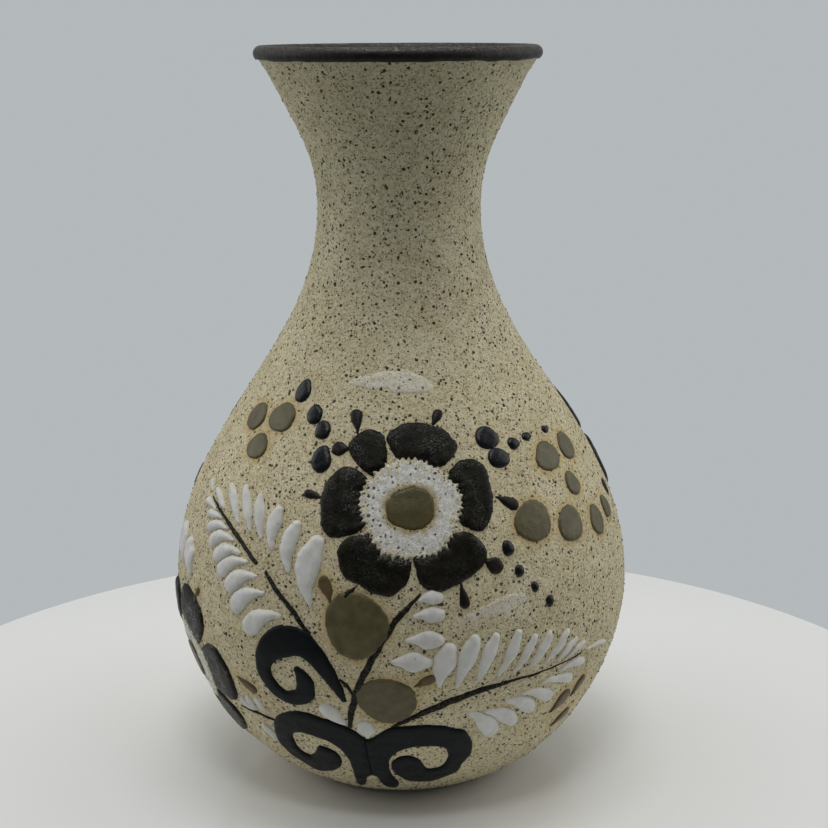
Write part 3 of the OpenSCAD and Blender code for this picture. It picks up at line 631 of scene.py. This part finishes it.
def to_edge(points, loops):
    """Distance from each point to the nearest outline."""
    best = np.full(len(points), 1e9)
    for loop in loops:
        a, b = loop, np.roll(loop, -1, 0)
        d = b - a
        n = np.maximum((d ** 2).sum(1), 1e-12)
        for i in range(0, len(points), CHUNK):
            p = points[i:i + CHUNK, None]
            t = np.clip(((p - a) * d).sum(2) / n, 0, 1)[..., None]
            far = np.hypot(*np.moveaxis(p - a - t * d, 2, 0)).min(1)
            best[i:i + CHUNK] = np.minimum(best[i:i + CHUNK], far)
    return best


def solids_of(node):
    """Groups a node's outlines by solid, each outer outline first, with its holes after it."""
    loops = inner_face_loops(node)
    flat = []
    for loop in loops:
        middle = loop.mean(0)
        radius = wall(middle[1])[0]
        flat.append((loop, area_of((loop - middle) * [radius, 1])))
    flat.sort(key=lambda v: -abs(v[1]))
    groups = []
    for loop, size in flat:
        if abs(size) < SMALLEST_SOLID:
            continue
        home = None
        for g in groups:
            turns = np.round((g[0][:, 0].mean() - loop[:, 0].mean()) / (2 * math.pi))
            shift = turns * 2 * math.pi
            if inside_loop(loop[:1] + [shift, 0], g[0])[0]:
                home = g
                loop = loop + [shift, 0]
        if home is not None:
            home.append(loop)
        else:
            groups.append([loop])
    return groups


def resample(loop, gap, corner=42):
    """Evenly spaced points along a closed outline, smooth but for its sharp corners."""
    keep = np.hypot(*(np.roll(loop, -1, 0) - loop).T) > 0.02
    loop = loop[keep]
    ahead = np.roll(loop, -1, 0) - loop
    behind = loop - np.roll(loop, 1, 0)
    across = behind[:, 0] * ahead[:, 1] - behind[:, 1] * ahead[:, 0]
    turn = np.degrees(np.abs(np.arctan2(across, (behind * ahead).sum(1))))
    sharp = list(np.where(turn > corner)[0])
    if not sharp:
        run = np.vstack([loop[-2:], loop, loop[:3]])
        runs = [through(run, 8)[16:-16]]
    else:
        runs = []
        for a, b in zip(sharp, sharp[1:] + [sharp[0] + len(loop)]):
            run = loop[np.arange(a, b + 1) % len(loop)]
            runs.append(through(run, 8) if len(run) > 2 else run)
    out = []
    for run in runs:
        along = np.concatenate([[0], np.cumsum(np.hypot(*np.diff(run, axis=0).T))])
        count = max(1, int(round(along[-1] / gap)))
        at = np.linspace(0, along[-1], count, endpoint=False)
        out.append(np.stack([np.interp(at, along, run[:, 0]), np.interp(at, along, run[:, 1])], 1))
    return np.vstack(out)


APART_X = Vector((7.7, 0, 0))
APART_Y = Vector((0, 9.1, 0))


def hand(flat, solid, amount):
    """Moves flat points a little, as an unsteady hand would; neighbouring pieces move alike."""
    moved = np.empty_like(flat)
    for i, p in enumerate(solid):
        wide, near = Vector(p / 3.1), Vector(p / 1.05)
        x = noise.noise(wide) + 0.45 * noise.noise(near)
        y = noise.noise(wide + APART_X) + 0.45 * noise.noise(near + APART_Y)
        moved[i] = flat[i] + amount * np.array((x, y))
    return moved


def sides_of(loop):
    """Unit vectors to the left of a closed outline at each of its points."""
    way = np.roll(loop, -1, 0) - np.roll(loop, 1, 0)
    way /= np.maximum(np.hypot(*way.T), 1e-9)[:, None]
    return np.stack([-way[:, 1], way[:, 0]], 1)


def dome(distance, edge, power):
    """0 at the edge to 1 at edge mm inside it, round at the shoulder."""
    q = np.clip(distance / edge, 0, 1)
    return (1 - (1 - q) ** 2) ** power


def filled(points, ties, within):
    """Triangles over flat points, kept where their middles lie within the outline."""
    made = delaunay_2d_cdt([Vector(p) for p in points], ties, [], 0, 1e-5)
    flat = np.array([tuple(v) for v in made[0]])
    tri = np.array(made[2])
    tri = tri[within(flat[tri].mean(1))]
    x, y = flat[:, 0][tri], flat[:, 1][tri]
    x, y = x - x[:, :1], y - y[:, :1]
    turn = x[:, 1] * y[:, 2] - x[:, 2] * y[:, 1]
    tri[turn < 0] = tri[turn < 0][:, ::-1]
    return flat, [tuple(int(k) for k in t) for t in tri]


SINK = 0.45   # how deep a raised piece's base lies in the clay, mm
LIFT = -0.06  # where its edge meets the clay, mm
FAR = 9.0     # the longest distance kept in an attribute, mm
EDGE_ROWS = (0.10, 0.28, 0.55)  # where rows of points follow the outline, as shares of the edge


def raise_solid(loops, kind, seed, ease=1.0):
    """One closed slip solid on the wall from its flat outlines. Returns vertices, faces and their
    attributes. Where the spread outline crosses itself, ease makes spread and unsteadiness less."""
    gap, grid, height, edge, power, lumps, shaky, grow = kind
    shaky, grow = shaky * ease, grow * ease
    middle = loops[0].mean(0)

    def flatten(loop):
        radius = wall(loop[:, 1])[0]
        return np.stack([(loop[:, 0] - middle[0]) * radius, loop[:, 1] - middle[1]], 1)

    def lift(flat, rise):
        s = flat[:, 1] + middle[1]
        az = middle[0] + flat[:, 0] / wall(s)[0]
        return on_wall(az, s, rise)

    flat = [resample(flatten(v), gap) for v in loops]
    flat = [v if (area_of(v) > 0) == (k == 0) else v[::-1] for k, v in enumerate(flat)]
    flat = [v - grow * sides_of(v) for v in flat]
    flat = [hand(v, lift(v, 0) / MM, shaky) for v in flat]
    outer = flat[0]

    def within(points):
        ok = inside_loop(points, outer)
        for hole in flat[1:]:
            ok &= ~inside_loop(points, hole)
        return ok

    inner = []
    for loop in flat:
        for share in EDGE_ROWS:
            inner.append((loop + sides_of(loop) * share * edge, share * edge * 0.93))
    lo, hi = outer.min(0), outer.max(0)
    rows = np.arange(lo[1], hi[1], grid * 0.866)
    hexes = np.array([(x + (k % 2) * grid / 2, y) for k, y in enumerate(rows)
                      for x in np.arange(lo[0], hi[0], grid)])
    if len(hexes):
        inner.append((hexes, edge * 0.72))
    picked = []
    for points, least in inner:
        points = points[within(points)]
        if len(points):
            picked.append(points[to_edge(points, flat) > least])
    inner = np.vstack(picked) if picked else np.zeros((0, 2))
    inner = thin_out(inner, gap * 0.5)
    rims = np.vstack(flat)
    ties, at = [], 0
    for loop in flat:
        n = len(loop)
        ties += [(at + k, at + (k + 1) % n) for k in range(n)]
        at += n
    every = np.vstack([rims, inner])
    top, top_faces = filled(every, ties, within)
    base, base_faces = filled(rims, ties, within)
    distance = to_edge(top, flat)
    n = len(rims)
    if len(top) != len(every) or len(base) != n:
        return None
    share = dome(distance, edge, power)
    wave = np.array([noise.noise(Vector((x / 1.7, y / 1.7, seed + 3.3))) for x, y in top])
    rise = LIFT + (height - LIFT) * share * (1 + lumps * wave)
    verts = np.vstack([lift(top, rise), lift(rims, np.full(n, -SINK))])
    m = len(top)
    faces = top_faces + [tuple(m + k for k in reversed(f)) for f in base_faces]
    for a, b in ties:
        faces.append((a, m + a, m + b, b))
    flat_n = np.zeros(n)
    from_hole = to_edge(top, flat[1:]) if len(flat) > 1 else np.full(m, FAR)
    return verts, faces, {"rise": np.concatenate([share, flat_n]),
                          "inset": np.concatenate([np.minimum(distance, FAR), flat_n]),
                          "ring": np.concatenate([np.minimum(from_hole, FAR), flat_n])}


def thin_out(points, gap):
    """Drops points closer than gap to one already kept."""
    if len(points) == 0:
        return points
    cells, kept = {}, []
    for p in points:
        key = (int(math.floor(p[0] / gap)), int(math.floor(p[1] / gap)))
        near = (cells.get((key[0] + i, key[1] + j)) for i in (-1, 0, 1) for j in (-1, 0, 1))
        if any(q is not None and (q[0] - p[0]) ** 2 + (q[1] - p[1]) ** 2 < gap * gap for q in near):
            continue
        cells[key] = p
        kept.append(p)
    return np.array(kept)


# outline step, inner grid, height and edge width in mm; roundness and lumps, which have no unit;
# unsteadiness and spread in mm
KIND = {
    "petal_slip": (0.40, 0.80, 0.80, 1.5, 0.50, 0.10, 0.42, 0.0),
    "scroll_slip": (0.42, 0.75, 0.72, 1.2, 0.50, 0.06, 0.25, 0.12),
    "white_slip": (0.34, 0.60, 0.95, 1.8, 0.62, 0.14, 0.34, 0.34),
    "collar_slip": (0.30, 0.48, 0.30, 0.5, 0.60, 0.55, 0.42, 0.0),
    "centre_slip": (0.36, 0.70, 0.58, 0.45, 0.40, 0.08, 0.42, 0.12),
    "olive_slip": (0.36, 0.70, 0.50, 0.55, 0.42, 0.10, 0.30, 0.05),
    "olive_drop_slip": (0.30, 0.55, 0.50, 0.9, 0.60, 0.10, 0.25, 0.08),
    "dot_slip": (0.32, 0.50, 0.80, 1.7, 0.60, 0.08, 0.30, 0.10),
    "drop_slip": (0.30, 0.50, 0.62, 1.2, 0.65, 0.08, 0.22, 0.08),
    "stem_slip": (0.30, 0.42, 0.45, 0.6, 0.60, 0.35, 0.30, 0.05),
    "thin_film": (0.50, 0.90, 0.15, 0.8, 0.60, 0.20, 1.10, 0.0),
}

# the first word found in a node's name gives its slot
WORDS = [
    ("clay_body", "clay"), ("rim_glaze", "rim_glaze"), ("inner_glaze", "inner_glaze"),
    ("petal", "petal_slip"), ("collar", "collar_slip"), ("centre", "centre_slip"),
    ("scroll", "scroll_slip"), ("olive_drops", "olive_drop_slip"), ("white_drops", "white_slip"),
    ("leaflets", "white_slip"), ("drops", "drop_slip"), ("stem", "stem_slip"),
    ("olive", "olive_slip"), ("black_dots", "dot_slip"), ("films", "thin_film"),
]
SLOT_OF = {node: next(slot for word, slot in WORDS if word in node) for node in NODES}
EASES = (1.0, 0.5, 0.0)


def make_raised(node, groups, kind, slot, seed):
    """One piece for a raised node, with a closed solid for each group of outlines."""
    verts, faces, kept = [], [], []
    start = 0
    for g, loops in enumerate(groups):
        tries = (raise_solid(loops, kind, seed + 0.61 * g, ease) for ease in EASES)
        made = next((solid for solid in tries if solid), None)
        if made is None:
            raise RuntimeError(f"solid {g} of {node} could not be filled")
        verts.append(made[0])
        faces += [tuple(start + k for k in f) for f in made[1]]
        kept.append(made[2])
        start += len(made[0])
    new_piece(node + "_slip", np.vstack(verts), faces, [node], MATERIAL[slot],
              {key: np.concatenate([k[key] for k in kept]) for key in kept[0]})


OUTLINES = {node: solids_of(node) for node, slot in sorted(SLOT_OF.items()) if slot in KIND}
for number, (node, slot_name) in enumerate(sorted(SLOT_OF.items())):
    if slot_name in KIND:
        make_raised(node, OUTLINES[node], KIND[slot_name], slot_name, 1.37 * number)


# ---------------------------------------------------------------- clay

AROUND = 320
UP = 232
LIP = np.array((36.1, TOP_Z - 2))  # the middle of the lip's round
LIP_ROUND = 1.5
FLOOR = 5.0  # height of the inside floor
GLAZE_LOW = 9.5  # how far below the top the lip's glaze ends inside
STAINING = ("olive_slip", "olive_drop_slip", "centre_slip")
STAIN_REACH = 2.6
STAIN_FADE = 2.0


def thickness(s):
    """Thickness of the clay in mm at distance s up the wall."""
    return 4.8 - 1.8 * s / LENGTH


def inside_line(s, extra=0.0):
    """[radius, height] points of the inside wall, moved in by extra mm."""
    r, z, nr, nz = wall(s)
    t = thickness(s) + extra
    return np.stack([r - t * nr, z - t * nz], 1)


def lip_arc(radius, low, high, count):
    """[radius, height] points round the lip, from low to high degrees."""
    turn = np.radians(np.linspace(low, high, count))
    return LIP + radius * np.stack([np.cos(turn), np.sin(turn)], 1)


def body_rows(az, up):
    """Rows of points from under the foot, up the outside, over the lip and down the inside, and
    the first row of the outer wall."""
    foot = STOPS[0][0]
    under = [(0, 1.6), (8, 1.6), (15, 1.6), (foot - 8.4, 1.6), (foot - 7.4, 1.3),
             (foot - 6.4, 0.3), (foot - 5.7, 0.0), (foot - 3, 0.0), (foot - 0.8, 0.0),
             (foot - 0.2, 0.3)]
    inner = inside_line(np.linspace(LENGTH, 7, 46))
    inner = inner[(inner[:, 1] > FLOOR + 0.4) & (inner[:, 1] < TOP_Z - 3.2)]
    floor = [(foot - 3, FLOOR + 0.1), (foot - 7, FLOOR), (14, FLOOR), (7, FLOOR), (0, FLOOR)]

    def turned(path):
        return [around(r, np.full(AROUND if r else 1, z), az if r else az[:1]) * MM
                for r, z in path]

    outer = [on_wall(az, np.full(AROUND, s), 0) for s in up[1:]]
    over = turned(lip_arc(LIP_ROUND, -55, 140, 12))
    return turned(under) + outer + over + turned(inner) + turned(floor), len(under) - 1


def stain(verts, chosen):
    """How strongly the chosen points of the wall are stained by the olive slip near them."""
    seen = []
    for node, groups in OUTLINES.items():
        if SLOT_OF[node] in STAINING:
            for loops in groups:
                middle = loops[0].mean(0)
                edge = np.vstack([loops[0], middle + 0.5 * (loops[0] - middle)])
                seen.append(on_wall(edge[:, 0], edge[:, 1], 0.0))
    seen = np.vstack(seen)
    tree = kdtree.KDTree(len(seen))
    for i, p in enumerate(seen):
        tree.insert(p, i)
    tree.balance()
    halo = np.zeros(len(verts))
    for i in chosen:
        if 0.02 < verts[i][2] < 0.12:
            far = tree.find(verts[i])[2] / MM
            halo[i] = max(0.0, min(1.0, (STAIN_REACH - far) / STAIN_FADE))
    return halo


def make_body():
    """The clay shell: hollow foot, lumpy outer wall, rounded lip, inside wall and floor."""
    az = np.linspace(0, 2 * math.pi, AROUND, endpoint=False)
    rows, first = body_rows(az, np.linspace(0, LENGTH, UP))
    sizes = [len(row) for row in rows]
    verts = np.vstack(rows)
    starts = np.concatenate([[0], np.cumsum(sizes)])
    for i in range(starts[first + 2], starts[first + UP - 1]):
        p = verts[i]
        lump = 0.035 * noise.noise(Vector(p * 420)) + 0.03 * noise.noise(Vector(p * 900))
        verts[i] += np.array(Vector((p[0], p[1], 0)).normalized()) * lump * MM
    halo = stain(verts, range(starts[first], starts[first + UP]))
    new_piece("clay_body_shell", verts, row_faces(sizes), ["clay_body"],
              MATERIAL["clay"], {"halo": halo})


def ring_piece(name, node, path, count, bend=None):
    """A closed ring turned from a closed [radius, height] path, in place of a glaze node."""
    az = np.linspace(0, 2 * math.pi, count, endpoint=False)
    az = np.repeat(az[None, :], len(path), 0)
    r = np.repeat(path[:, :1], count, 1)
    z = np.repeat(path[:, 1:], count, 1)
    if bend is not None:
        r, z = bend(r, z, az)
    slot = SLOT_OF[node]
    new_piece(name, around(r, z, az).reshape(-1, 3) * MM, ring_faces(len(path), count), [node],
              MATERIAL[slot])


def unsteady_rim(r, z, az):
    """Makes the lip's glaze uneven: its lower edge wavers and its top is pitted."""
    flat = np.stack([36 * np.sin(az), 36 * np.cos(az), z], -1).reshape(-1, 3)
    soft = np.array([noise.noise(Vector(p / 5.0)) for p in flat]).reshape(r.shape)
    fine = np.array([noise.noise(Vector(p / 0.9)) for p in flat]).reshape(r.shape)
    low = np.clip((TOP_Z - 2.2 - z) / 1.6, 0, 1) * (r > 35.2)
    high = np.clip((z - TOP_Z + 2.0) / 1.8, 0, 1)
    return r + 0.10 * soft + 0.05 * fine, z + low * 0.45 * soft - high * 0.12 * np.abs(fine)


def make_rim():
    """The dark glaze over the lip and a little way down inside."""
    down = np.linspace(LENGTH - 0.6, s_of(TOP_Z - GLAZE_LOW) + 4.5, 8)
    inside = inside_line(down, 0.42)
    hidden = inside_line(down, -0.7)[::-1]
    path = np.vstack([lip_arc(2.0, -52, 150, 28), inside[inside[:, 1] < TOP_Z - 3.0],
                      hidden[hidden[:, 1] < TOP_Z - 3.4],
                      [(36.0, TOP_Z - 2.4), (36.9, TOP_Z - 3.0)]])
    ring_piece("rim_glaze_bead", "rim_glaze", path, 420, unsteady_rim)


def make_inner_glaze():
    """The skin of glaze on the inside wall and floor."""
    down = np.linspace(s_of(TOP_Z - GLAZE_LOW) + 4.5, 7, 60)
    skin, back = inside_line(down, 0.4), inside_line(down, -0.5)[::-1]
    path = np.vstack([skin[skin[:, 1] > FLOOR + 0.6],
                      [(24.5, 5.5), (20, 5.42), (12, 5.4), (0.6, 5.4)],
                      [(0.6, 4.4), (12, 4.4), (24.5, 4.4)],
                      back[back[:, 1] > FLOOR + 0.6]])
    ring_piece("inner_glaze_skin", "inner_glaze", path, 160)


def make_grains(count):
    """Sand grains that stand out of the clay, each a small closed lump."""
    s = draw.uniform(2, LENGTH - 1.5, count * 3)
    keep = draw.uniform(0, 64, count * 3) < wall(s)[0]
    s = s[keep][:count]
    az = draw.uniform(0, 2 * math.pi, len(s))
    size = 0.17 + 0.26 * draw.uniform(0, 1, len(s)) ** 2
    tone = draw.uniform(0, 1, len(s))
    verts, faces, tones = [], [], []
    sides = 5
    for i in range(len(s)):
        spin = draw.uniform(0, 2 * math.pi)
        ang = spin + np.arange(sides) * 2 * math.pi / sides
        rad = size[i] * draw.uniform(0.75, 1.25, sides)
        r = wall(s[i])[0]
        ring = on_wall(az[i] + rad * np.cos(ang) / r, s[i] + rad * np.sin(ang), 0.01)
        tip = on_wall(az[i:i + 1], s[i:i + 1], size[i] * draw.uniform(0.35, 0.8))
        low = on_wall(az[i:i + 1], s[i:i + 1], -0.25)
        at = i * (sides + 2)
        verts += [ring, tip, low]
        tones += [tone[i]] * (sides + 2)
        for k in range(sides):
            m = (k + 1) % sides
            faces += [(at + k, at + m, at + sides), (at + m, at + k, at + sides + 1)]
    new_piece("clay_sand_grains", np.vstack(verts), faces, [],
              MATERIAL["grain"], {"tone": tones})


make_body()
make_rim()
make_inner_glaze()
make_grains(11000)


# ---------------------------------------------------------------- setting

TABLE_WHITE = (0.82, 0.82, 0.80)
TABLE_RADIUS = 173.6
TABLE_THICK = 9.0
TABLE_ROUND = 2.0
TABLE_GAP = 0.02  # below the foot


def table_material():
    """Smooth white board, very slightly mottled."""
    s = Shade("white_turntable")
    grey = tuple(0.9 * c for c in TABLE_WHITE)
    colour = s.mix(s.span(s.noise(60, 3), 0.3, 0.7, 0, 0.06), TABLE_WHITE, grey)
    return s.set(Base_Color=colour, Roughness=0.14, Specular_IOR_Level=0.5)


def make_floor():
    """A round white turntable under the vase."""
    flat = TABLE_RADIUS - TABLE_ROUND
    path = [(0, -TABLE_THICK), (TABLE_RADIUS, -TABLE_THICK)]
    path += [(flat + TABLE_ROUND * math.sin(a), TABLE_ROUND * (math.cos(a) - 1))
             for a in np.linspace(math.pi / 2, 0.2, 6)]
    path += [(flat, 0), (100, 0), (40, 0), (0, 0)]
    az = np.linspace(0, 2 * math.pi, 256, endpoint=False)
    rows = [around(r, np.full(len(az) if r else 1, z - TABLE_GAP), az if r else az[:1]) * MM
            for r, z in path]
    mesh = bpy.data.meshes.new("turntable")
    mesh.from_pydata(np.vstack(rows).tolist(), [], row_faces([len(row) for row in rows]))
    mesh.polygons.foreach_set("use_smooth", [True] * len(mesh.polygons))
    floor = bpy.data.objects.new("turntable", mesh)
    bpy.context.scene.collection.objects.link(floor)
    mesh.materials.append(table_material())


# name, place, the point it faces, width and height, and power
LIGHTS = [
    ("left_box", (-0.85, 0.15, 0.45), (0, 0, 0.09), (0.7, 0.8), 2.5),
    ("right_box", (0.85, 0.15, 0.45), (0, 0, 0.09), (0.7, 0.8), 2.6),
    ("top_box", (0.0, -0.02, 1.05), (0, 0, 0.1), (0.8, 0.6), 4.6),
    ("front_top_box", (-0.03, -0.50, 0.92), (0, 0, 0.1), (0.26, 0.12), 1.35),
]


def area_light(name, place, aim, size, power):
    """A soft rectangular light that faces the point aim."""
    data = bpy.data.lights.new(name, "AREA")
    data.shape = "RECTANGLE"
    data.size, data.size_y = size
    data.energy = power
    light = bpy.data.objects.new(name, data)
    bpy.context.scene.collection.objects.link(light)
    light.location = place
    light.rotation_euler = (Vector(aim) - Vector(place)).to_track_quat("-Z", "Y").to_euler()


FRONT_LIGHT = 0.084
BACK_LIGHT = 0.34
SKY_COLOUR = (0.95, 0.99, 1.0, 1)
BACKDROP = (0.455, 0.485, 0.50, 1)  # what the camera itself sees behind the vase


def make_world():
    """Pale blue-grey surroundings, dimmer on the side the vase is seen from."""
    world = bpy.data.worlds.new("surroundings")
    bpy.context.scene.world = world
    world.use_nodes = True
    tree = world.node_tree
    place = tree.nodes.new("ShaderNodeTexCoord").outputs["Generated"]
    split = tree.nodes.new("ShaderNodeSeparateXYZ")
    tree.links.new(place, split.inputs[0])
    front = tree.nodes.new("ShaderNodeMapRange")
    tree.links.new(split.outputs["Y"], front.inputs["Value"])
    front.inputs["From Min"].default_value = -0.9
    front.inputs["From Max"].default_value = 0.4
    front.inputs["To Min"].default_value = FRONT_LIGHT
    front.inputs["To Max"].default_value = BACK_LIGHT
    sky = tree.nodes.new("ShaderNodeBackground")
    sky.inputs["Color"].default_value = SKY_COLOUR
    tree.links.new(front.outputs["Result"], sky.inputs["Strength"])
    seen = tree.nodes.new("ShaderNodeBackground")
    seen.inputs["Color"].default_value = BACKDROP
    path = tree.nodes.new("ShaderNodeLightPath")
    both = tree.nodes.new("ShaderNodeMixShader")
    tree.links.new(path.outputs["Is Camera Ray"], both.inputs[0])
    tree.links.new(sky.outputs[0], both.inputs[1])
    tree.links.new(seen.outputs[0], both.inputs[2])
    tree.links.new(both.outputs[0], tree.nodes["World Output"].inputs["Surface"])


make_floor()
make_world()
for row in LIGHTS:
    area_light(*row)

bpy.context.scene.view_settings.view_transform = "Standard"
